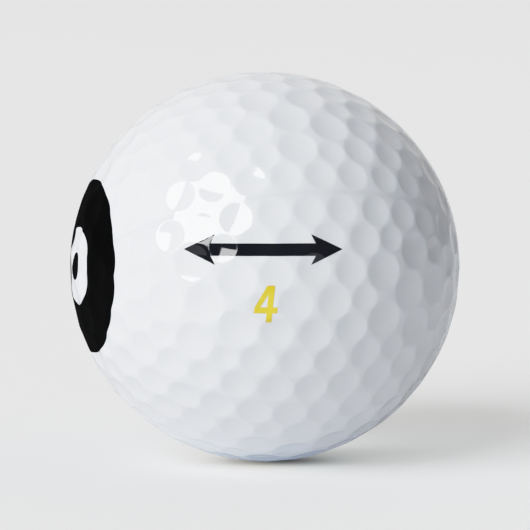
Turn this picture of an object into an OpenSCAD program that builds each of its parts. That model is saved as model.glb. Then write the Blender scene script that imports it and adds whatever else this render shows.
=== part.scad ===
// Two-piece golf ball: a solid rubber core, a dimpled cover moulded from two
// half-cups that meet on a dimple-free great circle, and the printed marks.
//
// Frame: origin at the centre of the ball, +Z up, the face that carries the
// alignment arrow and the play number looks along -Y. Millimetres and degrees.
//
// The dimples follow the symmetry of an icosahedron. Each of its 12 corners
// carries the same rosette of 36 dimples: one in the middle and seven rings of
// five. That makes 432. Six great circles run between the rosettes without
// crossing a dimple, and one of them is the parting line of the mould.

/* [Ball] */
// Diameter over the land between the dimples, mm
ball_d = 42.67; // [42.67:0.01:43.2]
// Diameter of the solid rubber core, mm
core_d = 38.4; // [36:0.1:40]

/* [Dimple size] */
// Diameter of the dimple in the middle of a rosette (A), mm
dia_a = 4.35; // [3:0.05:4.55]
// Diameter of the inner ring (B), mm
dia_b = 4.15; // [3:0.05:4.35]
// Diameter of the small dimples on the spokes (C), mm
dia_c = 2.9; // [2:0.05:3.15]
// Diameter of the paired dimples (D), mm
dia_d = 3.55; // [3:0.05:3.65]
// Diameter of the dimples at the ends of the spokes (E), mm
dia_e = 3.65; // [3:0.05:3.8]
// Diameter of the outer dimples on the gaps (F), mm
dia_f = 3.5; // [3:0.05:3.7]
// Diameter of the dimples around each triangle centre (G), mm
dia_g = 3.6; // [3:0.05:3.8]
// Depth below the rim, as a share of the dimple's diameter
depth_ratio = 0.037; // [0.03:0.001:0.055]

/* [Dimple position] */
// Ring B, angle from the middle of the rosette, degrees
ring_b = 11.8; // [11.5:0.1:12.4]
// Ring C, angle from the middle of the rosette, degrees
ring_c = 16.7; // [16.2:0.1:17.2]
// Ring D, angle from the middle of the rosette, degrees
ring_d = 22.25; // [21.65:0.05:22.95]
// Ring D, half the angle between the two dimples of a pair, degrees
pair_d = 13.15; // [12.8:0.05:13.8]
// Ring E, angle from the middle of the rosette, degrees
ring_e = 26.1; // [25.7:0.1:26.7]
// Ring F, angle from the middle of the rosette, degrees
ring_f = 31.5; // [30.7:0.1:31.8]
// Ring G, angle from the centre of a triangle towards an edge, degrees
ring_g = 11.55; // [11.2:0.05:12.5]

/* [Parting line] */
// How far the dimples beside the parting line are moved away from it, degrees
seam_shift = 0.45; // [0:0.05:0.7]
// How much smaller the dimples beside the parting line are, mm
seam_trim = 0.25; // [0.1:0.05:0.5]
// Tilt of the mould's axis from +Z, degrees
mould_tilt = 28.3; // [0:0.1:90]
// Direction in which the mould's axis leans, degrees from +X
mould_lean = 107.2; // [0:0.1:360]
// Turn of the dimple pattern about the mould's axis, degrees
mould_turn = 32.6; // [0:0.1:72]

/* [Printing] */
// Thickness of a printed mark on the cover, mm
ink = 0.03; // [0.02:0.01:0.1]
// Elevation of the centre of the front print, degrees
print_lat = 4; // [-20:0.5:20]
// Overall length of the alignment arrow, mm
arrow_l = 16.6; // [13:0.1:18]
// Height across the arrow's heads, mm
arrow_h = 3.2; // [2:0.1:4]
// Thickness of the arrow's shaft, mm
arrow_shaft = 1.3; // [0.5:0.1:2]
// Length of one arrowhead, mm
arrow_head = 3.3; // [2:0.1:4.5]
// Height of the arrow's axis above the centre of the print, mm
arrow_up = 2.85; // [2.5:0.05:5]
// Height of the play number, mm
digit_h = 3.85; // [3:0.05:4.5]
// Width of the play number before it is slanted, mm
digit_w = 2.45; // [2.2:0.05:4]
// Slant of the play number, degrees
digit_slant = 6; // [0:1:15]
// Distance of the number's middle below the centre of the print, mm
digit_down = 2.8; // [2.6:0.05:5]
// Elevation of the centre of the round badge, degrees
badge_lat = 2; // [-3:5:7]
// Direction of the centre of the round badge, degrees from +X
badge_az = 195; // [185:5:200]
// Outer diameter of the badge, mm
badge_d = 18.9; // [16.9:1:20.9]
// Diameter of the opening in the badge, mm
badge_open_d = 8.5; // [7.5:1:10.5]
// Diameter of the dot in the middle of the badge, mm
badge_dot_d = 3; // [1:1:6]

/* [Hidden] */
ball_r = ball_d / 2;
core_r = core_d / 2;
// facets of the large spheres, of the dimple bowls and of their rims
fn_ball = 240;
fn_bowl = 240;
fn_rim = 48;
// how far tools and print solids stand out past the cover
proud = 1;
// how far the dimple tool reaches below the plane of the rim
tool_reach = 2;
// clearance of the cutting tool's wall outside the rim of a dimple
lip = 0.03;
// dimples nearer to the parting line than this, in degrees, form the row beside it
seam_row = 7;
// dimples this many degrees beyond the reach of a print are still cut from it
near_margin = 7;
// distance from the ball's centre at which the cones of the round prints start
wrap_start = 12;
// sideways offsets of the arrow and of the play number on the print
arrow_shift = -0.2;
digit_shift = 0.15;
// width allowed on each side of the play number for its slant and offset
digit_margin = 0.5;

arrow_ink = [0.09, 0.10, 0.12];
number_ink = [0.92, 0.82, 0.24];
badge_ink = [0.05, 0.05, 0.05];

// ---- points and turns on the unit sphere ----
function on_sphere(colat, az) =
    [sin(colat) * cos(az), sin(colat) * sin(az), cos(colat)];
function unit(v) = v / norm(v);
// turn about Z
function spin(angle, v) =
    [v.x * cos(angle) - v.y * sin(angle), v.x * sin(angle) + v.y * cos(angle), v.z];
// turn about Y
function tip(angle, v) =
    [v.x * cos(angle) + v.z * sin(angle), v.y, v.z * cos(angle) - v.x * sin(angle)];
function half_turn(axis, v) = 2 * (axis * v) * axis - v;
// the point at the given angle from start on the way to end
function toward(start, end, angle) =
    let (span = acos(start * end))
    (sin(span - angle) * start + sin(angle) * end) / sin(span);

// ---- dimple pattern: every dimple is [direction, diameter] ----
// angle between neighbouring petals of a rosette
petal_step = 72;
half_step = petal_step / 2;
// corner-to-corner angle of an icosahedron
corner_gap = atan(2);

// the rosette round one corner, azimuth 0 points at a triangle centre
triangle_mid = unit(on_sphere(0, 0) + on_sphere(corner_gap, -half_step)
                    + on_sphere(corner_gap, half_step));
edge_mid = on_sphere(corner_gap / 2, half_step);
petal = [
    [on_sphere(ring_b, 0), dia_b],
    [on_sphere(ring_c, half_step), dia_c],
    [on_sphere(ring_d, pair_d), dia_d],
    [on_sphere(ring_d, -pair_d), dia_d],
    [on_sphere(ring_e, half_step), dia_e],
    [on_sphere(ring_f, 0), dia_f],
    [toward(triangle_mid, edge_mid, ring_g), dia_g],
];
rosette = concat([[on_sphere(0, 0), dia_a]],
    [for (i = [0:4], spot = petal) [spin(petal_step * i, spot[0]), spot[1]]]);

// the 12 corners as [colatitude, azimuth, twist], a corner on the axis
corners = concat([[0, 0, half_step]],
    [for (i = [0:4]) [corner_gap, petal_step * i, 0]],
    [for (i = [0:4]) [180 - corner_gap, half_step + petal_step * i, half_step]]);

// A dimple in the row beside the parting line is a little smaller and sits a
// little further from it, so the mould has a plain band to part on.
function beside_seam(dir, diameter) =
    let (lat = asin(dir.z))
    lat < seam_row
        ? [on_sphere(90 - lat - seam_shift, atan2(dir.y, dir.x)), diameter - seam_trim]
        : [dir, diameter];

// the half of the pattern above the parting plane, in the mould's frame
upper_mould = [for (corner = corners, spot = rosette)
    let (dir = spin(corner[1], tip(corner[0], spin(corner[2], spot[0]))))
    if (dir.z > 0) beside_seam(dir, spot[1])];
// the other half is the same cavity, turned over about an axis on the parting plane
flip_axis = on_sphere(90, 18);
lower_mould = [for (spot = upper_mould) [half_turn(flip_axis, spot[0]), spot[1]]];

// from the mould's frame to the ball's frame
function placed(list) = [for (spot = list)
    [spin(mould_lean, tip(mould_tilt, spin(mould_turn, spot[0]))), spot[1]]];
upper_dimples = placed(upper_mould);
lower_dimples = placed(lower_mould);
all_dimples = concat(upper_dimples, lower_dimples);

// ---- centres of the prints as directions from the ball's centre ----
front_dir = on_sphere(90 - print_lat, -90);
back_dir = -front_dir;
badge_dir = on_sphere(90 - badge_lat, badge_az);
// how far the arrow and the number go from the print's centre line
arrow_reach = norm([arrow_l / 2 - arrow_shift, arrow_up + arrow_h / 2]);
digit_reach = norm([digit_w / 2 + digit_margin, digit_down + digit_h / 2]);

// turns +Z to the given direction
module aim(dir) {
    rotate([0, acos(dir.z), atan2(dir.y, dir.x)]) children();
}

// The tool that sinks one dimple: a spherical bowl below the rim and a straight
// wall outside it. grow makes the bowl shallower by the thickness of a film.
module dimple(diameter, grow = 0) {
    rim_r = diameter / 2;
    depth = depth_ratio * diameter;
    rim_z = sqrt(ball_r * ball_r - rim_r * rim_r);
    bowl_r = (rim_r * rim_r + depth * depth) / (2 * depth);
    tool_z = rim_z - tool_reach;
    rotate_extrude($fn = fn_rim) intersection() {
        translate([0, rim_z - depth + bowl_r])
            circle(r = bowl_r - grow, $fn = fn_bowl);
        translate([0, tool_z])
            square([rim_r + lip, ball_r + proud - tool_z]);
    }
}

module dimples(list, grow = 0) {
    for (spot = list) aim(spot[0]) dimple(spot[1], grow);
}

// half a spherical shell, its flat rim on z = 0
module half_shell(outer_r, inner_r) {
    rotate_extrude($fn = fn_ball) intersection() {
        difference() {
            circle(r = outer_r, $fn = fn_ball);
            circle(r = inner_r, $fn = fn_ball);
        }
        square([outer_r + proud, outer_r + proud]);
    }
}

module in_mould_frame() {
    rotate([0, 0, mould_lean]) rotate([0, mould_tilt, 0])
        rotate([0, 0, mould_turn]) children();
}

// A film of ink on the cover, dimples included. Its child is a solid that stands
// on the print's centre line, x to the right and y up as the print is read, and
// reach is how far the print goes from that line.
module print_film(dir, reach) {
    near_angle = asin(reach / ball_r) + near_margin;
    near = [for (spot = all_dimples) if (acos(spot[0] * dir) < near_angle) spot];
    difference() {
        intersection() {
            aim(dir) rotate([0, 0, 90]) children();
            sphere(r = ball_r + ink, $fn = fn_ball);
        }
        dimples(near, ink);
        difference() {
            sphere(r = ball_r, $fn = fn_ball);
            dimples(near);
        }
    }
}

// a print pressed on along its centre line keeps its outline as seen from there
module pressed() {
    linear_extrude(height = ball_r + proud) children();
}

// A round print wrapped on the ball: a cone from the ball's centre, cut short
// below the cover, whose circle on the land has the given diameter. extra
// lengthens it at both ends.
module wrapped_disc(diameter, extra = 0) {
    slope = tan(asin(diameter / 2 / ball_r));
    start = wrap_start - extra;
    end = ball_r + proud + extra;
    translate([0, 0, start])
        cylinder(h = end - start, r1 = start * slope, r2 = end * slope, $fn = fn_ball);
}

// double-headed arrow with barbed heads, centred
module arrow_outline() {
    tip_x = arrow_l / 2;
    head_y = arrow_h / 2;
    shaft_y = arrow_shaft / 2;
    barb_x = tip_x - arrow_head;
    // the barbs sweep back this far from where the shaft meets the head
    barb = 0.5;
    right = [[barb_x + barb, shaft_y], [barb_x, head_y], [tip_x, 0],
        [barb_x, -head_y], [barb_x + barb, -shaft_y]];
    polygon(concat(right, [for (point = right) -point]));
}

// a figure four built from straight strokes, with a triangular opening, centred
module digit_outline() {
    stroke = 0.62;
    // underside of the crossbar, and the height of its left end
    bar_y = 0.95;
    bar_end = 0.55;
    // how far the crossbar runs past the stem
    overhang = 0.5;
    // how far the flat top runs left of the stem
    top_left = 0.2;
    // top of the opening, below the top of the figure
    opening_drop = 0.95;

    stem_x = digit_w - overhang - stroke;
    stem_right = stem_x + stroke;
    bar_top = bar_y + stroke;
    function slanted(points) = [for (p = points)
        [p.x - digit_w / 2 + (p.y - digit_h / 2) * tan(digit_slant), p.y - digit_h / 2]];
    outer = [[0, bar_y], [0, bar_y + bar_end], [stem_x - top_left, digit_h],
        [stem_right, digit_h], [stem_right, bar_top],
        [digit_w, bar_top], [digit_w, bar_y], [stem_right, bar_y],
        [stem_right, 0], [stem_x, 0], [stem_x, bar_y]];
    opening = [[stroke, bar_top], [stem_x, bar_top], [stem_x, digit_h - opening_drop]];
    difference() {
        polygon(slanted(outer));
        polygon(slanted(opening));
    }
}

module arrow_film(dir) {
    print_film(dir, arrow_reach)
        pressed() translate([arrow_shift, arrow_up]) arrow_outline();
}

module number_film(dir) {
    print_film(dir, digit_reach)
        pressed() translate([digit_shift, -digit_down]) digit_outline();
}

// ---- the pieces ----
module core() {
    color([0.80, 0.66, 0.36]) sphere(r = core_r, $fn = fn_ball);
}

module cover_upper_cup() {
    color([0.95, 0.95, 0.95]) difference() {
        in_mould_frame() half_shell(ball_r, core_r);
        dimples(upper_dimples);
    }
}

module cover_lower_cup() {
    color([0.93, 0.94, 0.95]) difference() {
        in_mould_frame() rotate(180, flip_axis) half_shell(ball_r, core_r);
        dimples(lower_dimples);
    }
}

module front_arrow() {
    color(arrow_ink) arrow_film(front_dir);
}

module front_number() {
    color(number_ink) number_film(front_dir);
}

module back_arrow() {
    color(arrow_ink) arrow_film(back_dir);
}

module back_number() {
    color(number_ink) number_film(back_dir);
}

module badge_ring() {
    color(badge_ink) print_film(badge_dir, badge_d / 2)
        difference() {
            wrapped_disc(badge_d);
            wrapped_disc(badge_open_d, extra = 1);
        }
}

module badge_dot() {
    color(badge_ink) print_film(badge_dir, badge_dot_d / 2)
        wrapped_disc(badge_dot_d);
}

core();
cover_upper_cup();
cover_lower_cup();
front_arrow();
front_number();
back_arrow();
back_number();
badge_ring();
badge_dot();
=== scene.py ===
"""A dimpled ball with printed marks, standing on a pale board.

The ball's middle is the origin, +Z is up and the camera looks along +Y from the -Y side,
with +X to its right. The cover is two equal half-cups. Each is laid out in the mould's
frame, where the parting plane is z = 0, and then turned into the ball's frame. Shapes are
worked out in mm and become metres when a mesh is made.
"""
import math
from itertools import product

import bpy
import numpy as np
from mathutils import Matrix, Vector
from mathutils.geometry import delaunay_2d_cdt
from mathutils.kdtree import KDTree


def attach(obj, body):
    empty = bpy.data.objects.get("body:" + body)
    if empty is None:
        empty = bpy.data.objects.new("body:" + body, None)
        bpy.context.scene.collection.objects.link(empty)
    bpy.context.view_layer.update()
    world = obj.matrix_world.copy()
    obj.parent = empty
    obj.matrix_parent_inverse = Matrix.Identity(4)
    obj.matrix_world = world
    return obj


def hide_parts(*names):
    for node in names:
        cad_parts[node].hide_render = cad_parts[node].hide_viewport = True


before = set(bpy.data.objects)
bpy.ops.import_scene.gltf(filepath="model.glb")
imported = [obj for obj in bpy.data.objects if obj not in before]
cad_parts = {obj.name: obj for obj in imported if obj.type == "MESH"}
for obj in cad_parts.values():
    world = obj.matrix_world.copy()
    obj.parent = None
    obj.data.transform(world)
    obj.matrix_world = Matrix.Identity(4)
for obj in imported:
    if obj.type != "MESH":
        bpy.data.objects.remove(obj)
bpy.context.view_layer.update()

MM = 0.001


def vertex_norms(name):
    """Distances of a CAD node's vertices from the origin."""
    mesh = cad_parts[name].data
    coords = np.zeros(len(mesh.vertices) * 3)
    mesh.vertices.foreach_get("co", coords)
    return np.linalg.norm(coords.reshape(-1, 3), axis=1)


cup_norms = vertex_norms("cover_upper_cup")
BALL_R = float(cup_norms.max()) / MM  # the land between the dimples, mm
INSIDE_R = float(cup_norms.min()) / MM  # inside of the cover, mm

# Dimples: lengths in mm, angles in degrees
DEPTH_RATIO = 0.037  # a dimple's depth over its diameter
CENTRE_DIA = 4.35  # the dimple in the middle of a rosette
PETAL = [  # one fifth of a rosette: angle from its middle, azimuth, diameter
    (11.8, 0, 4.15),
    (16.7, 36, 2.9),
    (22.25, 13.15, 3.55),
    (22.25, -13.15, 3.55),
    (26.1, 36, 3.65),
    (31.5, 0, 3.5),
]
TRIANGLE_ANGLE = 11.55  # the petal's last dimple, from the middle of three rosettes
TRIANGLE_DIA = 3.6
SEAM_ROW = 7.0  # dimples below this latitude border the seam
SEAM_SHIFT = 0.45  # they move this far away from it
SEAM_TRIM = 0.25  # and lose this much diameter
MOULD_TILT, MOULD_LEAN, MOULD_TURN = 28.3, 107.2, 32.6
RIM_SOFT = 0.22  # half-width of the rounding on a dimple's rim
RIM_BLEND = RIM_SOFT * 0.26  # the same as a height

# Meshes: distances in mm along the surface
RIM_SEGMENTS = 40
SEAM_SEGMENTS = 300
RIM_OUT = 0.05  # where the land's mesh meets a dimple's, outside the rim
LAND_RINGS = (0.14, 0.24)  # rings of points on the land, outside the rim
RIM_RINGS = (0.0, -0.07, -0.13, -0.19, -0.26)  # rings in the bowl, from the rim inwards
BOWL_RINGS = [  # share of the last rim ring's angle, points
    (0.78, RIM_SEGMENTS),
    (0.52, RIM_SEGMENTS // 2),
    (0.26, RIM_SEGMENTS // 2),
]


# ---------------------------------------------------------------------------
# The dimple pattern, by the same rule as the CAD: 12 rosettes of 36 dimples
# ---------------------------------------------------------------------------
def on_sphere(colatitude, azimuth):
    c, a = math.radians(colatitude), math.radians(azimuth)
    return np.array([math.sin(c) * math.cos(a), math.sin(c) * math.sin(a), math.cos(c)])


def rot_z(degrees):
    a = math.radians(degrees)
    return np.array([[math.cos(a), -math.sin(a), 0], [math.sin(a), math.cos(a), 0], [0, 0, 1]])


def rot_y(degrees):
    a = math.radians(degrees)
    return np.array([[math.cos(a), 0, math.sin(a)], [0, 1, 0], [-math.sin(a), 0, math.cos(a)]])


def unit(v):
    v = np.asarray(v, float)
    return v / np.linalg.norm(v, axis=-1, keepdims=True)


def upper_pattern():
    """Directions and diameters of the dimples on one cup, in the mould's frame. The
    rosettes sit on the corners of an icosahedron."""
    corner_gap = math.degrees(math.atan(2))
    triangle = unit(on_sphere(0, 0) + on_sphere(corner_gap, -36) + on_sphere(corner_gap, 36))
    edge_mid = on_sphere(corner_gap / 2, 36)
    whole, part = math.acos(triangle @ edge_mid), math.radians(TRIANGLE_ANGLE)
    last = (math.sin(whole - part) * triangle + math.sin(part) * edge_mid) / math.sin(whole)
    petal = [(on_sphere(angle, azimuth), dia) for angle, azimuth, dia in PETAL]
    petal.append((last, TRIANGLE_DIA))
    rosette = [(on_sphere(0, 0), CENTRE_DIA)] + [
        (rot_z(72 * m) @ point, dia) for m in range(5) for point, dia in petal
    ]
    corners = (  # colatitude, azimuth, twist; the bottom corner adds nothing above z = 0
        [(0, 0, 36)]
        + [(corner_gap, 72 * k, 0) for k in range(5)]
        + [(180 - corner_gap, 36 + 72 * k, 36) for k in range(5)]
    )
    directions, diameters = [], []
    for colatitude, azimuth, twist in corners:
        turn = rot_z(azimuth) @ rot_y(colatitude) @ rot_z(twist)
        for point, dia in rosette:
            v = turn @ point
            if v[2] <= 0:
                continue
            latitude = math.degrees(math.asin(v[2]))
            if latitude < SEAM_ROW:
                around = math.degrees(math.atan2(v[1], v[0]))
                v = on_sphere(90 - latitude - SEAM_SHIFT, around)
                dia = dia - SEAM_TRIM
            directions.append(v)
            diameters.append(dia)
    return np.array(directions), np.array(diameters)


CUP_DIR, CUP_DIA = upper_pattern()
flip_axis = on_sphere(90, 18)
HALF_TURN = 2 * np.outer(flip_axis, flip_axis) - np.eye(3)
UPPER_TURN = rot_z(MOULD_LEAN) @ rot_y(MOULD_TILT) @ rot_z(MOULD_TURN)  # mould to ball
LOWER_TURN = UPPER_TURN @ HALF_TURN
ALL_DIR = np.vstack([CUP_DIR @ UPPER_TURN.T, CUP_DIR @ LOWER_TURN.T])
ALL_DIA = np.concatenate([CUP_DIA, CUP_DIA])


def profile(angle, dia):
    """Depth below the land at an angle from a dimple's axis, and its slope. The bowl and
    the land meet in a soft round, as moulding and paint leave them."""
    half = dia / 2
    dip = DEPTH_RATIO * dia
    rim = np.sqrt(BALL_R * BALL_R - half * half)
    bowl = (half * half + dip * dip) / (2 * dip)
    centre = rim - dip + bowl
    sin, cos = np.sin(angle), np.cos(angle)
    root = np.sqrt(np.maximum(bowl * bowl - (centre * sin) ** 2, 1e-9))
    height = centre * cos - root - BALL_R
    slope = -centre * sin + centre * centre * sin * cos / root
    share = np.clip(0.5 - height / (2 * RIM_BLEND), 0.0, 1.0)  # 1 in the bowl, 0 on the land
    depth = RIM_BLEND * share * (1 - share) - height * share
    return depth, -slope * share


def surface(directions):
    """Surface radius and normal along unit directions: the land less every dimple
    nearby, so two rounded rims close to each other leave one rounded ridge."""
    depth = np.zeros(len(directions))
    tilt = np.zeros((len(directions), 3))
    batch, nearest = 20000, 4
    for start in range(0, len(directions), batch):
        part = slice(start, start + batch)
        v = directions[part]
        all_cos = np.clip(v @ ALL_DIR.T, -1, 1)
        near = np.argpartition(-all_cos, nearest, axis=1)[:, :nearest]
        for k in range(nearest):
            i = near[:, k]
            axis, dia = ALL_DIR[i], ALL_DIA[i]
            cos = all_cos[np.arange(len(v)), i]
            angle = np.arccos(cos)
            dip, slope = profile(angle, dia)
            in_reach = angle < np.arcsin(dia / 2 / BALL_R) + 2.5 * RIM_SOFT / BALL_R
            dip, slope = dip * in_reach, slope * in_reach
            side = v * cos[:, None] - axis
            size = np.linalg.norm(side, axis=1, keepdims=True)
            side = np.where(size > 1e-9, side / np.maximum(size, 1e-9), 0.0)
            depth[part] += dip
            tilt[part] += side * slope[:, None]
    r = BALL_R - depth
    return r, unit(directions * r[:, None] + tilt)


# ---------------------------------------------------------------------------
# Mesh helpers
# ---------------------------------------------------------------------------
def make_object(name, verts_mm, faces, corner_normals):
    mesh = bpy.data.meshes.new(name)
    mesh.from_pydata((np.asarray(verts_mm) * MM).tolist(), [], faces)
    mesh.validate()
    for polygon in mesh.polygons:
        polygon.use_smooth = True
    mesh.normals_split_custom_set([tuple(n) for n in corner_normals])
    mesh.update()
    obj = bpy.data.objects.new(name, mesh)
    bpy.context.scene.collection.objects.link(obj)
    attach(obj, "root")
    return obj


def ring_dirs(axis, angle, count=RIM_SEGMENTS):
    """Directions on a circle at an angle from an axis."""
    across = np.cross([0.0, 0.0, 1.0], axis)
    if np.linalg.norm(across) < 1e-6:
        across = np.array([1.0, 0.0, 0.0])
    across = unit(across)
    along = np.cross(axis, across)
    phi = 2 * math.pi * np.arange(count) / count
    side = np.cos(phi)[:, None] * across + np.sin(phi)[:, None] * along
    return math.cos(angle) * axis + math.sin(angle) * side


def loop_links(start, count):
    """Edges of a closed loop of count points."""
    return [(start + k, start + (k + 1) % count) for k in range(count)]


def triangulate(points, links):
    """Triangles over flat points, as indices into them; -1 stands for an added point."""
    result = delaunay_2d_cdt([Vector(p) for p in points.tolist()], links, [], 0, 1e-9, True)
    source = [ids[0] if ids else -1 for ids in result[3]]
    return [[source[i] for i in triangle] for triangle in result[2]]


def fibonacci(count):
    """Evenly spread directions on a spiral."""
    i = np.arange(count) + 0.5
    z = 1 - 2 * i / count
    phi = i * math.pi * (3 - math.sqrt(5))
    rho = np.sqrt(1 - z * z)
    return np.stack([rho * np.cos(phi), rho * np.sin(phi), z], 1)


def thin(points, kept, gap):
    """The points that stay at least gap (mm) from kept and from one another."""
    size = gap / BALL_R
    tree = KDTree(len(kept))
    for i, p in enumerate(kept):
        tree.insert(p, i)
    tree.balance()
    out = []
    cells = {}
    for p in points:
        if not tree.find(p)[2] > size:
            continue
        x, y, z = cell = tuple(np.floor(p / size).astype(int))
        close = any(
            ((p - q) ** 2).sum() < size * size
            for dx, dy, dz in product((-1, 0, 1), repeat=3)
            for q in cells.get((x + dx, y + dy, z + dz), ())
        )
        if not close:
            cells.setdefault(cell, []).append(p)
            out.append(p)
    return np.array(out)


# ---------------------------------------------------------------------------
# The half-cup, in the mould's frame
# ---------------------------------------------------------------------------
LAND_FILL = 18000  # spiral points over the whole sphere, before thinning
SEAM_CLEAR = 0.10  # land points stay this far above the seam
RING_CLEAR, RING_GAP = 0.125, 0.085  # ring points: from the rims, from other points
FILL_CLEAR, FILL_GAP = 0.2, 0.2  # the same for the fill
INSIDE_LATITUDES = np.radians([6, 12, 20, 28, 36, 44, 52, 60, 68, 76, 84])
INSIDE_THINNING = 5  # rings above the first keep every fifth point


def land_mesh(seam, half_angle):
    """Directions and faces of the land. The points start with the seam, then one ring
    per dimple."""
    rings = np.vstack(
        [ring_dirs(v, angle) for v, angle in zip(CUP_DIR, half_angle + RIM_OUT / BALL_R)]
    )
    more = np.vstack(
        [ring_dirs(v, a + k / BALL_R) for k in LAND_RINGS for v, a in zip(CUP_DIR, half_angle)]
    )

    def on_land(points, room):
        points = points[points[:, 2] > SEAM_CLEAR / BALL_R]
        angles = np.arccos(np.clip(points @ CUP_DIR.T, -1, 1))
        return points[(angles - half_angle[None, :]).min(1) > room / BALL_R]

    more = thin(on_land(more, RING_CLEAR), np.vstack([seam, rings]), RING_GAP)
    fill = on_land(fibonacci(LAND_FILL), FILL_CLEAR)
    fill = thin(fill, np.vstack([seam, rings, more]), FILL_GAP)
    land = np.vstack([seam, rings, more, fill])
    owner = np.concatenate(  # the dimple a point belongs to, or a negative number
        [
            np.full(SEAM_SEGMENTS, -1),
            np.repeat(np.arange(len(CUP_DIR)), RIM_SEGMENTS),
            np.full(len(more) + len(fill), -2),
        ]
    )
    links = loop_links(0, SEAM_SEGMENTS)
    for d in range(len(CUP_DIR)):
        links += loop_links(SEAM_SEGMENTS + d * RIM_SEGMENTS, RIM_SEGMENTS)
    flat = land[:, :2] / (1 + land[:, 2:3])
    faces = []
    for a, b, c in triangulate(flat, links):
        if min(a, b, c) < 0:
            raise RuntimeError("the land mesh got an extra point")
        if owner[a] >= 0 and owner[a] == owner[b] == owner[c]:
            continue  # within a dimple
        normal = np.cross(land[b] - land[a], land[c] - land[a])
        faces.append([a, b, c] if normal @ land[a] > 0 else [a, c, b])
    return land, faces


def bowl_meshes(start, half_angle):
    """Directions and faces of the bowls: rings close together where the rim rounds over,
    fewer points further in. start is the index of the first new point."""
    directions, faces = [], []
    for d, v in enumerate(CUP_DIR):
        first = SEAM_SEGMENTS + d * RIM_SEGMENTS
        prev = list(range(first, first + RIM_SEGMENTS))
        rings = [(half_angle[d] + k / BALL_R, RIM_SEGMENTS) for k in RIM_RINGS]
        bend = rings[-1][0]
        rings += [(bend * share, count) for share, count in BOWL_RINGS]
        for angle, count in rings:
            directions.append(ring_dirs(v, angle, count))
            ring = list(range(start, start + count))
            start += count
            for k in range(count):
                j = (k + 1) % count
                if count == len(prev):
                    faces.append([prev[k], prev[j], ring[j], ring[k]])
                else:
                    a, b, c = prev[2 * k], prev[2 * k + 1], prev[(2 * k + 2) % len(prev)]
                    faces += [[a, b, ring[k]], [b, ring[j], ring[k]], [b, c, ring[j]]]
            prev = ring
        directions.append(v[None])
        for k in range(len(prev)):
            faces.append([prev[k], prev[(k + 1) % len(prev)], start])
        start += 1
    return np.vstack(directions), faces


def inside_mesh(seam, base):
    """Directions and faces of the smooth inside, above the seam ring that starts at
    index base."""
    directions, faces = [], []
    prev = list(range(base, base + SEAM_SEGMENTS))
    start = base + SEAM_SEGMENTS
    for n, latitude in enumerate(INSIDE_LATITUDES):
        ring_points = np.stack(
            [
                math.cos(latitude) * seam[:, 0],
                math.cos(latitude) * seam[:, 1],
                np.full(SEAM_SEGMENTS, math.sin(latitude)),
            ],
            1,
        )[:: INSIDE_THINNING if n else 1]
        directions.append(ring_points)
        ring = list(range(start, start + len(ring_points)))
        start += len(ring)
        step = len(prev) // len(ring)
        for k in range(len(ring)):
            j = (k + 1) % len(ring)
            if step == 1:
                faces.append([prev[k], ring[k], ring[j], prev[j]])
                continue
            for m in range(k * step, (k + 1) * step):
                faces.append([prev[m], ring[k], prev[(m + 1) % len(prev)]])
            faces.append([prev[(k + 1) * step % len(prev)], ring[k], ring[j]])
        prev = ring
    directions.append([[0, 0, 1.0]])
    for k in range(len(prev)):
        faces.append([prev[k], start, prev[(k + 1) % len(prev)]])
    return np.vstack(directions), faces


def cup_mesh():
    """One half-cup: the dimpled outside, the flat parting face and the smooth inside.
    Returns vertices, faces and the normal at every face corner."""
    half_angle = np.arcsin(CUP_DIA / 2 / BALL_R)
    seam = np.array([on_sphere(90, 360 * k / SEAM_SEGMENTS) for k in range(SEAM_SEGMENTS)])
    seam[:, 2] = 0.0

    land, faces = land_mesh(seam, half_angle)
    bowls, bowl_faces = bowl_meshes(len(land), half_angle)
    faces += bowl_faces
    outside = np.vstack([land, bowls])
    r, normals = surface(outside @ UPPER_TURN.T)
    normals = normals @ UPPER_TURN
    r[:SEAM_SEGMENTS] = BALL_R
    normals[:SEAM_SEGMENTS] = seam
    corners = [normals[i] for face in faces for i in face]

    base = len(outside)
    for k, j in loop_links(0, SEAM_SEGMENTS):
        faces.append([j, k, base + k, base + j])
        corners += [np.array([0, 0, -1.0])] * 4

    inside_dirs, inside_faces = inside_mesh(seam, base)
    verts = np.vstack([outside * r[:, None], seam * INSIDE_R, inside_dirs * INSIDE_R])
    faces += inside_faces
    for face in inside_faces:
        corners += [-unit(verts[i]) for i in face]
    return verts, faces, np.array(corners)


cup_verts, cup_faces, cup_normals = cup_mesh()


def make_skin(name, turn):
    return make_object(name, cup_verts @ turn.T, cup_faces, cup_normals @ turn.T)


upper_skin = make_skin("cover_upper_skin", UPPER_TURN)
lower_skin = make_skin("cover_lower_skin", LOWER_TURN)
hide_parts("cover_upper_cup")
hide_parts("cover_lower_cup")


# ---------------------------------------------------------------------------
# Printed marks: thin films that follow the dimpled cover, in mm
# ---------------------------------------------------------------------------
INK_TOP = 0.022  # the film's two faces, above the cover
INK_FOOT = -0.003
FILM_GRID = 0.17  # spacing of the points that fill a film
BORDER_CLEAR = 0.03  # rim points stay this far from the outline
LATTICE_CLEAR = 0.08  # fill points stay this far from rim points and the outline
SAME_POINT = 0.012  # rim points in one cell of this size become one


def resample(loop, step):
    out = []
    for i, p in enumerate(loop):
        q = loop[(i + 1) % len(loop)]
        n = max(1, int(math.ceil(np.linalg.norm(q - p) / step)))
        out += [p + (q - p) * k / n for k in range(n)]
    return np.array(out)


def inside(points, loops):
    """Even-odd test against closed loops."""
    hit = np.zeros(len(points), bool)
    x, y = points[:, 0], points[:, 1]
    for loop in loops:
        for (x0, y0), (x1, y1) in zip(loop, np.roll(loop, -1, axis=0)):
            if y0 == y1:
                continue
            hit ^= ((y0 > y) != (y1 > y)) & (x < (x1 - x0) * (y - y0) / (y1 - y0) + x0)
    return hit


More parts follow.
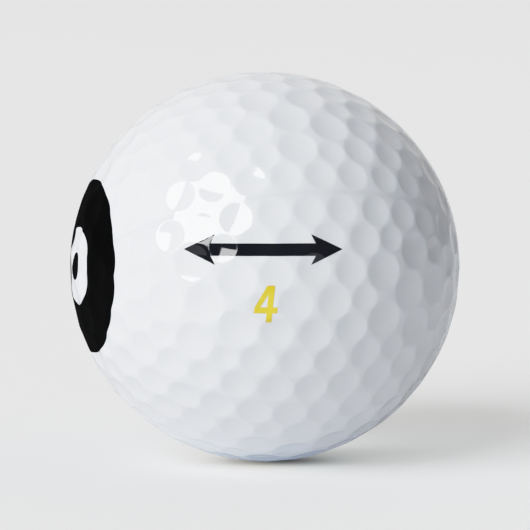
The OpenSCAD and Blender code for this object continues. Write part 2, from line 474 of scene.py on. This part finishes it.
def clear_of(points, others, distance):
    """The points further than distance from all others, in batches to save memory."""
    batch, other_batch = 2000, 4000
    keep = np.ones(len(points), bool)
    for s in range(0, len(points), batch):
        part = points[s : s + batch]
        gap = np.full(len(part), 1e9)
        for m in range(0, len(others), other_batch):
            offsets = part[:, None] - others[None, m : m + other_batch]
            gap = np.minimum(gap, (offsets**2).sum(-1).min(1))
        keep[s : s + batch] = gap > distance * distance
    return points[keep]


def film_rim_points(centre, right, up, reach):
    """Flat points on the rings round the dimples within reach of a film."""
    limit = math.cos(math.asin(reach / BALL_R) + math.radians(7))
    points = []
    for i in np.where(ALL_DIR @ centre > limit)[0]:
        half_angle = math.asin(ALL_DIA[i] / 2 / BALL_R)
        for k in (*RIM_RINGS[::-1], RIM_OUT, *LAND_RINGS):
            ring = ring_dirs(ALL_DIR[i], half_angle + k / BALL_R) * BALL_R
            points.append(np.stack([ring @ right, ring @ up], 1))
    return np.vstack(points)


def film_points(loops, rim_points, reach):
    """The outline, then rim points, then a lattice kept away from both."""
    border = np.vstack(loops)
    rows = int(reach / FILM_GRID) + 2
    gx, gy = np.meshgrid(np.arange(-rows, rows + 1), np.arange(-rows * 2, rows * 2 + 1))
    lattice = np.stack([(gx + 0.5 * (gy % 2)) * FILM_GRID, gy * FILM_GRID * 0.866], -1)
    lattice = lattice.reshape(-1, 2)
    lattice = lattice[inside(lattice, loops)]
    rim_points = rim_points[inside(rim_points, loops)]
    rim_points = clear_of(rim_points, border, BORDER_CLEAR)
    cells = np.round(rim_points / SAME_POINT).astype(int)
    _, first = np.unique(cells, axis=0, return_index=True)
    rim_points = rim_points[np.sort(first)]
    lattice = clear_of(lattice, np.vstack([border, rim_points]), LATTICE_CLEAR)
    return np.vstack([border, rim_points, lattice])


def film(name, centre, loops, wrapped=False):
    """A closed film on the ball. loops are outlines in mm, x to the right and y up
    as the print is read, seen along the line from centre to the ball's middle. A
    wrapped film goes down to the cover towards the ball's middle instead."""
    lat, az = math.asin(centre[2]), math.atan2(centre[1], centre[0])
    right = np.array([-math.sin(az), math.cos(az), 0.0])
    up = np.array(
        [-math.sin(lat) * math.cos(az), -math.sin(lat) * math.sin(az), math.cos(lat)]
    )
    loops = [resample(np.asarray(loop, float), FILM_GRID * 0.9) for loop in loops]
    reach = np.linalg.norm(np.vstack(loops), axis=1).max()
    flat = film_points(loops, film_rim_points(centre, right, up, reach), reach)
    links, start = [], 0
    for loop in loops:
        links += loop_links(start, len(loop))
        start += len(loop)
    triangles = triangulate(flat, links)
    keep = inside(np.array([flat[t].mean(0) for t in triangles]), loops)
    triangles = [t for t, kept in zip(triangles, keep) if kept]

    # lift the flat points onto the ball
    r = np.full(len(flat), BALL_R)
    for _ in range(1 if wrapped else 6):
        depth = np.sqrt(r * r - (flat**2).sum(1))
        directions = unit(flat[:, :1] * right + flat[:, 1:] * up + depth[:, None] * centre)
        r, normals = surface(directions)
    skin = directions * r[:, None]
    verts = np.vstack([skin + normals * INK_TOP, skin + normals * INK_FOOT])

    # top, underside, then walls along the open edges
    count = len(flat)
    top, corners = [], []
    for a, b, c in triangles:
        if np.cross(skin[b] - skin[a], skin[c] - skin[a]) @ centre < 0:
            b, c = c, b
        top.append([a, b, c])
        corners += [normals[a], normals[b], normals[c]]
    faces = list(top)
    for a, b, c in top:
        faces.append([a + count, c + count, b + count])
        corners += [-normals[a], -normals[c], -normals[b]]
    edges = {}
    for a, b, c in top:
        for edge in ((a, b), (b, c), (c, a)):
            edges[edge] = True
    for a, b in edges:
        if (b, a) in edges:
            continue
        face = [b, a, a + count, b + count]
        q = verts[face]
        faces.append(face)
        corners += [unit(np.cross(q[1] - q[0], q[2] - q[0]) + 1e-12)] * 4
    return make_object(name, verts, faces, np.array(corners))


def arrow_outline():
    """A double-headed arrow above the middle of the print."""
    tip, half_width, half_shaft = 16.6 / 2, 3.2 / 2, 1.3 / 2
    barb = tip - 3.3
    notch = barb + 0.5
    half = [
        (notch, half_shaft), (barb, half_width), (tip, 0),
        (barb, -half_width), (notch, -half_shaft),
    ]
    return [np.array(half + [(-x, -y) for x, y in half]) + np.array((-0.2, 2.85))]


def digit_outline():
    """A slanted 4 below the middle of the print: its outline and its hole."""
    width, height = 2.45, 3.85
    stroke = 0.62
    bar, bar_top = 0.95, 0.95 + stroke  # the crossbar's two edges
    stem = width - 0.5 - stroke  # the stem's left edge
    stem_right = stem + stroke
    centre_x, centre_y = 0.15, -2.8
    slant = math.tan(math.radians(6))
    outer = [
        (0, bar), (0, bar + 0.55), (stem - 0.2, height), (stem_right, height),
        (stem_right, bar_top), (width, bar_top), (width, bar), (stem_right, bar),
        (stem_right, 0), (stem, 0), (stem, bar),
    ]
    hole = [(stroke, bar_top), (stem, bar_top), (stem, height - 0.95)]

    def place(x, y):
        return x - width / 2 + (y - height / 2) * slant + centre_x, y - height / 2 + centre_y

    return [np.array([place(x, y) for x, y in loop]) for loop in (outer, hole)]


def circle(dia, count):
    phi = 2 * math.pi * np.arange(count) / count
    return np.stack([np.cos(phi), np.sin(phi)], 1) * dia / 2


FRONT = on_sphere(90 - 4, -90)
BADGE = on_sphere(90 - 2, 195)
BADGE_RING = [circle(18.9, 400), circle(8.5, 200)]
BADGE_DOT = [circle(3.0, 90)]
prints = [  # CAD node, slot, film
    ("front_arrow", "ink_black", film("front_arrow_film", FRONT, arrow_outline())),
    ("front_number", "ink_yellow", film("front_number_film", FRONT, digit_outline())),
    ("back_arrow", "ink_black", film("back_arrow_film", -FRONT, arrow_outline())),
    ("back_number", "ink_yellow", film("back_number_film", -FRONT, digit_outline())),
    ("badge_ring", "badge_black", film("badge_ring_film", BADGE, BADGE_RING, wrapped=True)),
    ("badge_dot", "badge_black", film("badge_dot_film", BADGE, BADGE_DOT, wrapped=True)),
]
for node, slot, obj in prints:
    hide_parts(node)


# ---------------------------------------------------------------------------
# Materials
# ---------------------------------------------------------------------------
class Shader:
    """Builds the node tree of a material or a world. Helpers take sockets or constants."""

    def __init__(self, owner, output="ShaderNodeOutputMaterial"):
        owner.use_nodes = True
        self.tree = owner.node_tree
        self.tree.nodes.clear()
        self.out = self.add(output)

    def add(self, kind, **props):
        node = self.tree.nodes.new(kind)
        for key, value in props.items():
            setattr(node, key, value)
        return node

    def feed(self, value, socket):
        if isinstance(value, bpy.types.NodeSocket):
            self.tree.links.new(value, socket)
        else:
            socket.default_value = value

    def noise(self, coords, scale, detail, rough=0.5):
        node = self.add("ShaderNodeTexNoise")
        node.inputs["Scale"].default_value = scale
        node.inputs["Detail"].default_value = detail
        node.inputs["Roughness"].default_value = rough
        self.feed(coords, node.inputs["Vector"])
        return node.outputs["Fac"]

    def span(self, value, lo, hi):
        """The middle of a noise's range, 0.3 to 0.7, stretched over lo to hi."""
        node = self.add("ShaderNodeMapRange")
        node.inputs["From Min"].default_value = 0.3
        node.inputs["From Max"].default_value = 0.7
        node.inputs["To Min"].default_value = lo
        node.inputs["To Max"].default_value = hi
        self.feed(value, node.inputs["Value"])
        return node.outputs["Result"]

    def math(self, operation, a, b):
        node = self.add("ShaderNodeMath", operation=operation)
        self.feed(a, node.inputs[0])
        self.feed(b, node.inputs[1])
        return node.outputs[0]

    def vector(self, operation, a, b=None, output="Vector"):
        node = self.add("ShaderNodeVectorMath", operation=operation)
        self.feed(a, node.inputs[0])
        if b is not None:
            self.feed(b, node.inputs[1])
        return node.outputs[output]

    def scaled(self, color, amount):
        node = self.add("ShaderNodeVectorMath", operation="SCALE")
        self.feed(color, node.inputs[0])
        self.feed(amount, node.inputs["Scale"])
        return node.outputs["Vector"]

    def mix(self, factor, a, b):
        node = self.add("ShaderNodeMix", data_type="RGBA")
        self.feed(factor, node.inputs["Factor"])
        for color, socket in ((a, node.inputs[6]), (b, node.inputs[7])):
            self.feed((*color, 1) if isinstance(color, tuple) else color, socket)
        return node.outputs[2]


def surface_material(name, dark, light, rough=0.5, coat=1.0, coat_rough=0.05, scatter=0.0,
                     specular=0.0, peel=0.0006):
    """Base under a clear coat. The colour drifts a little over the surface, the roughness
    follows finer noise, and the coat has the slow ripple of sprayed lacquer, peel mm
    high."""
    mat = bpy.data.materials.new(name)
    g = Shader(mat)
    coords = g.add("ShaderNodeTexCoord").outputs["Object"]
    bsdf = g.add("ShaderNodeBsdfPrincipled")
    g.feed(bsdf.outputs["BSDF"], g.out.inputs["Surface"])
    slow = g.noise(coords, scale=140, detail=3.0)
    g.feed(g.mix(g.span(slow, 0, 1), dark, light), bsdf.inputs["Base Color"])
    fine = g.noise(coords, scale=900, detail=3.0, rough=0.6)
    g.feed(g.span(fine, rough * 0.85, rough * 1.15), bsdf.inputs["Roughness"])
    bsdf.inputs["Specular IOR Level"].default_value = specular
    bsdf.inputs["Coat Weight"].default_value = coat
    bsdf.inputs["Coat IOR"].default_value = 1.5
    g.feed(g.span(fine, coat_rough * 0.8, coat_rough * 1.3), bsdf.inputs["Coat Roughness"])
    if scatter:
        bsdf.inputs["Subsurface Weight"].default_value = scatter
        bsdf.inputs["Subsurface Radius"].default_value = (1.0, 0.85, 0.7)
        bsdf.inputs["Subsurface Scale"].default_value = 0.6 * MM
    if peel:
        bump = g.add("ShaderNodeBump")
        bump.inputs["Strength"].default_value = 1.0
        bump.inputs["Distance"].default_value = peel * MM
        g.feed(g.noise(coords, scale=520, detail=2.0), bump.inputs["Height"])
        g.feed(bump.outputs["Normal"], bsdf.inputs["Coat Normal"])
    return mat


cover_mat = surface_material(
    "cover_white_gloss", dark=(0.865, 0.875, 0.885), light=(0.885, 0.893, 0.90), scatter=0.25
)
print_mats = {
    "ink_black": surface_material(
        "ink_black_gloss", dark=(0.0055, 0.0062, 0.0095), light=(0.0095, 0.0105, 0.0145)
    ),
    "ink_yellow": surface_material(
        "ink_yellow_gloss", dark=(0.80, 0.60, 0.030), light=(0.86, 0.66, 0.045)
    ),
    "badge_black": surface_material(
        "badge_black_matt", dark=(0.0022, 0.0022, 0.0023), light=(0.0034, 0.0034, 0.0035),
        rough=0.7, coat=0.03, coat_rough=0.3,
    ),
}
core_mat = surface_material(
    "core_rubber_matt", dark=(0.62, 0.47, 0.20), light=(0.70, 0.55, 0.26),
    rough=0.8, coat=0.0, coat_rough=0.3, specular=0.5, peel=0,
)


def wear(obj, mat):
    obj.data.materials.clear()
    obj.data.materials.append(mat)


wear(upper_skin, cover_mat)
wear(lower_skin, cover_mat)
for _, slot, obj in prints:
    wear(obj, print_mats[slot])
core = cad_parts["core"]
if not core.material_slots:
    core.data.materials.append(core_mat)
for material_slot in core.material_slots:
    material_slot.material = core_mat

# ---------------------------------------------------------------------------
# Floor: a pale board under the ball, with painted light and painted shadow round it
# ---------------------------------------------------------------------------
FLOOR_Z = MM * min(
    float((cup_verts @ turn.T)[:, 2].min()) for turn in (UPPER_TURN, LOWER_TURN)
)
FLOOR_HALF = 6.0  # half the board's side, m
FLOOR_GLOW = (0.280, 0.267, 0.237)  # painted light of the board, as the camera sees it
SHADE_GLOW = (0.274, 0.278, 0.266)  # the same painted light, tinted, in the ball's shadow
UNDER_GLOW = (0.099, 0.131, 0.185)  # painted light: the board glows up at the ball's underside close to the contact, though it is no lamp
RIGHT_GLOW = (0.187, 0.178, 0.194)  # painted light: the board glows up at the ball from the right
CONTACT_SHADOW_PATCHES = [  # painted contact shadows, soft dark patches, in ball radii: x, y, width, depth; then darkness
    (0.077, -0.12, 0.261, 0.116, 0.571),
    (0.128, 0.136, 0.364, 0.209, 0.713),
]


# A painted contact shadow: a soft dark patch on the board
def painted_shadow_patch(g, coords, x, y, width, depth, darkness):
    ball = BALL_R * MM
    offset = g.vector("SUBTRACT", coords, (x * BALL_R * MM, y * BALL_R * MM, 0.0))
    fit = g.vector("MULTIPLY", offset, (1 / (width * ball), 1 / (depth * ball), 0.0))
    length = g.vector("LENGTH", fit, output="Value")
    square = g.math("MULTIPLY", length, length)
    falloff = g.math("EXPONENT", g.math("MULTIPLY", square, -0.5), 0.0)
    return g.math("MULTIPLY", falloff, darkness)


def floor_material():
    """The board glows, though it is no lamp. The camera sees painted light that is weaker on the
    lamp's side, where the ball throws light on the board, and stronger in the ball's
    shadow. It also sees two painted contact shadows, soft dark patches where the ball
    stands. The ball sees painted light from the board close round the contact and a
    wider one to the right."""
    mat = bpy.data.materials.new("floor_pale")
    g = Shader(mat)
    coords = g.add("ShaderNodeTexCoord").outputs["Object"]
    bsdf = g.add("ShaderNodeBsdfPrincipled")
    bsdf.inputs["Roughness"].default_value = 0.9
    bsdf.inputs["Specular IOR Level"].default_value = 0.1

    # near is 1 where the ball touches the board and falls off as 1 / distance from the
    # ball's middle; side and away are the shares of that distance to the right and away
    # from the camera
    reach = g.vector("LENGTH", coords, output="Value")
    near = g.math("DIVIDE", BALL_R * MM, reach)
    split = g.add("ShaderNodeSeparateXYZ")
    g.feed(coords, split.inputs[0])
    side = g.math("DIVIDE", split.outputs["X"], reach)
    away = g.math("DIVIDE", split.outputs["Y"], reach)
    near3 = g.math("POWER", near, 3.0)
    near12 = g.math("POWER", near, 12.0)
    # painted light and shade: the glow the camera sees on the board, shaped round the ball
    glow = 1.0
    for falloff, direction, weight in (
        (near3, None, -0.846),
        (near12, None, 5.105),
        (near3, side, 1.828),
        (near12, side, -0.315),
        (near3, away, 0.46),
        (near12, away, 4.498),
    ):
        term = g.math("MULTIPLY", falloff, direction) if direction else falloff
        glow = g.math("ADD", glow, g.math("MULTIPLY", term, weight))
    glow = g.math("MAXIMUM", glow, 0.0)

    # painted contact shadow: darkens the board's colour and its glow where the camera sees it
    painted_contact_shadow = g.math("ADD", *[painted_shadow_patch(g, coords, *patch) for patch in CONTACT_SHADOW_PATCHES])
    seen = g.add("ShaderNodeLightPath").outputs["Is Camera Ray"]
    unseen = g.math("SUBTRACT", 1.0, seen)
    unshadowed_share = g.math("SUBTRACT", 1.0, g.math("MULTIPLY", painted_contact_shadow, seen))
    unshadowed_share = g.math("MAXIMUM", unshadowed_share, 0.03)
    drift = g.span(g.noise(coords, scale=60, detail=4.0), 0, 1)
    board = g.mix(drift, (0.795, 0.795, 0.795), (0.805, 0.805, 0.805))
    g.feed(g.scaled(board, unshadowed_share), bsdf.inputs["Base Color"])

    # the painted light takes another tint in the ball's cast shadow
    in_shade = g.math("MULTIPLY", g.math("MULTIPLY", near3, side), 6.0)
    tint = g.mix(in_shade, FLOOR_GLOW, SHADE_GLOW)
    camera_amount = g.math("MULTIPLY", g.math("MULTIPLY", glow, unshadowed_share), seen)
    for_camera = g.scaled(tint, camera_amount)
    # painted light: the board glows at the ball, close round the contact and wider to the right
    close = g.scaled(UNDER_GLOW, g.math("MULTIPLY", g.math("POWER", near, 6.0), unseen))
    rightward = g.math("MULTIPLY", near3, g.math("MAXIMUM", side, 0.0))
    wide = g.scaled(RIGHT_GLOW, g.math("MULTIPLY", rightward, unseen))
    emission = g.vector("ADD", for_camera, g.vector("ADD", close, wide))
    g.feed(emission, bsdf.inputs["Emission Color"])
    bsdf.inputs["Emission Strength"].default_value = 1.0
    g.feed(bsdf.outputs["BSDF"], g.out.inputs["Surface"])
    return mat


floor_mesh = bpy.data.meshes.new("floor")
floor_mesh.from_pydata(
    [(x * FLOOR_HALF, y * FLOOR_HALF, FLOOR_Z) for x, y in ((-1, -1), (1, -1), (1, 1), (-1, 1))],
    [],
    [(0, 1, 2, 3)],
)
floor = bpy.data.objects.new("floor", floor_mesh)
bpy.context.scene.collection.objects.link(floor)
floor_mesh.materials.append(floor_material())

# ---------------------------------------------------------------------------
# Light
# ---------------------------------------------------------------------------
CAM_ELEVATION = 7.0  # degrees


def from_camera(azimuth, elevation):
    """A direction given as seen by the camera: azimuth to the right of the line to the
    camera, elevation above it, turned into the ball's frame."""
    a, b, t = math.radians(azimuth), math.radians(elevation), math.radians(CAM_ELEVATION)
    x, y, z = math.sin(a) * math.cos(b), math.sin(b), math.cos(a) * math.cos(b)
    return Vector((x, y * math.sin(t) - z * math.cos(t), y * math.cos(t) + z * math.sin(t)))


def put_along(obj, way, distance):
    """Place a lamp or camera along a direction, facing the ball."""
    obj.location = way * distance
    obj.rotation_mode = "QUATERNION"
    obj.rotation_quaternion = way.to_track_quat("Z", "Y")
    bpy.context.scene.collection.objects.link(obj)


def softbox(name, azimuth, elevation, width, height, radiance, distance, color=(1, 1, 1),
            shine_only=False):
    """A rectangular lamp, its size in degrees, that shows a given radiance. shine_only
    keeps it to reflections."""
    lamp = bpy.data.lights.new(name, "AREA")
    lamp.shape = "RECTANGLE"
    lamp.size = 2 * distance * math.tan(math.radians(width / 2))
    lamp.size_y = 2 * distance * math.tan(math.radians(height / 2))
    lamp.energy = radiance * math.pi * lamp.size * lamp.size_y
    lamp.color = color
    obj = bpy.data.objects.new(name, lamp)
    put_along(obj, from_camera(azimuth, elevation), distance)
    obj.visible_camera = False
    if shine_only:
        obj.visible_diffuse = False
        obj.visible_transmission = False
        obj.visible_volume_scatter = False


# the key, and the extra brightness of its middle as polished surfaces show it
KEY = dict(azimuth=-39, elevation=30, width=36.8, height=36)
softbox("key", **KEY, radiance=12.0, distance=12.0, color=(0.514, 0.526, 0.534))
softbox("key_core", **KEY, radiance=7.0, distance=11.9, shine_only=True)

# The room: soft pools of light, falling off with the fourth power of the cosine. The
# three on the right take light away: that side of the room is dark. Reflections see only
# the pale backdrop behind the ball.
DARKER = (-0.15, -0.15, -0.15)
POOLS = [  # direction, colour, seen in reflections
    ((0.0, 1.0, 0.25), (0.673, 0.655, 0.634), True),
    ((0.0, 0.7, 0.7), (0.139, 0.133, 0.148), True),
    ((-1.0, 0.0, 0.25), (0.626, 0.599, 0.680), False),
    ((-0.7, -0.7, 0.3), (0.577, 0.664, 0.764), False),
    ((1.0, 0.0, 0.25), DARKER, False),
    ((0.7, -0.7, 0.3), DARKER, False),
    ((0.7, 0.0, 0.7), DARKER, False),
]
ROOM = (0.079, 0.084, 0.098)  # the rest of the room, as reflections show it
FILL = (0.148, 0.149, 0.147)  # what it gives matt surfaces beyond that
BACKDROP = (0.93, 0.93, 0.93)  # what the camera sees above the board's far edge


def studio_world():
    world = bpy.data.worlds.new("studio")
    bpy.context.scene.world = world
    g = Shader(world, "ShaderNodeOutputWorld")
    way = g.add("ShaderNodeTexCoord").outputs["Generated"]
    light_path = g.add("ShaderNodeLightPath")
    matt = g.math("SUBTRACT", 1.0, light_path.outputs["Is Glossy Ray"])
    total = g.vector("ADD", ROOM, g.scaled(FILL, matt))
    for direction, color, in_shine in POOLS:
        cosine = g.vector("DOT_PRODUCT", way, Vector(direction).normalized(), output="Value")
        amount = g.math("POWER", g.math("MAXIMUM", cosine, 0.0), 4.0)
        if not in_shine:
            amount = g.math("MULTIPLY", amount, matt)
        total = g.vector("ADD", g.scaled(color, amount), total)
    not_below = g.vector("MAXIMUM", total, (0.0, 0.0, 0.0))
    background = g.add("ShaderNodeBackground")
    shown = g.mix(light_path.outputs["Is Camera Ray"], not_below, BACKDROP)
    g.feed(shown, background.inputs["Color"])
    g.feed(background.outputs[0], g.out.inputs["Surface"])


studio_world()

# ---------------------------------------------------------------------------
# Camera and tone
# ---------------------------------------------------------------------------
CAM_RADII = 19.06  # distance from the ball's middle, in ball radii
BALL_SHARE = 0.367471698  # the ball's radius in the picture, as a share of its width
SENSOR = 36.0  # mm

cam = bpy.data.cameras.new("camera")
cam.sensor_width = SENSOR
cam.lens = BALL_SHARE * math.sqrt(CAM_RADII**2 - 1) * SENSOR
cam.shift_y = 0.00301886792
cam.clip_start, cam.clip_end = 0.01, 40.0
cam_obj = bpy.data.objects.new("camera", cam)
put_along(cam_obj, from_camera(0, 0), CAM_RADII * BALL_R * MM)
bpy.context.scene.camera = cam_obj

WHITE = 4.0  # the brightest level the tone curve takes
TONE_LEVELS = (0.15, 0.3, 0.5, 0.62, 0.75, 0.9, 1.08, 1.3, 1.6, 2.0, 2.6, 3.2)


def shoulder(x, knee=0.5):
    """Straight up to the knee, then an even roll-off to white."""
    if x <= knee:
        return x
    return knee + (1 - knee) * (1 - math.exp(-(x - knee) / (1 - knee)))


view = bpy.context.scene.view_settings
view.view_transform = "Standard"
view.use_curve_mapping = True
tone = view.curve_mapping
tone.white_level = (WHITE, WHITE, WHITE)
curve = tone.curves[3]  # all three channels together
curve.points[0].location = (0.0, 0.0)
curve.points[1].location = (1.0, shoulder(WHITE))
for level in TONE_LEVELS:
    curve.points.new(level / WHITE, shoulder(level))
tone.update()
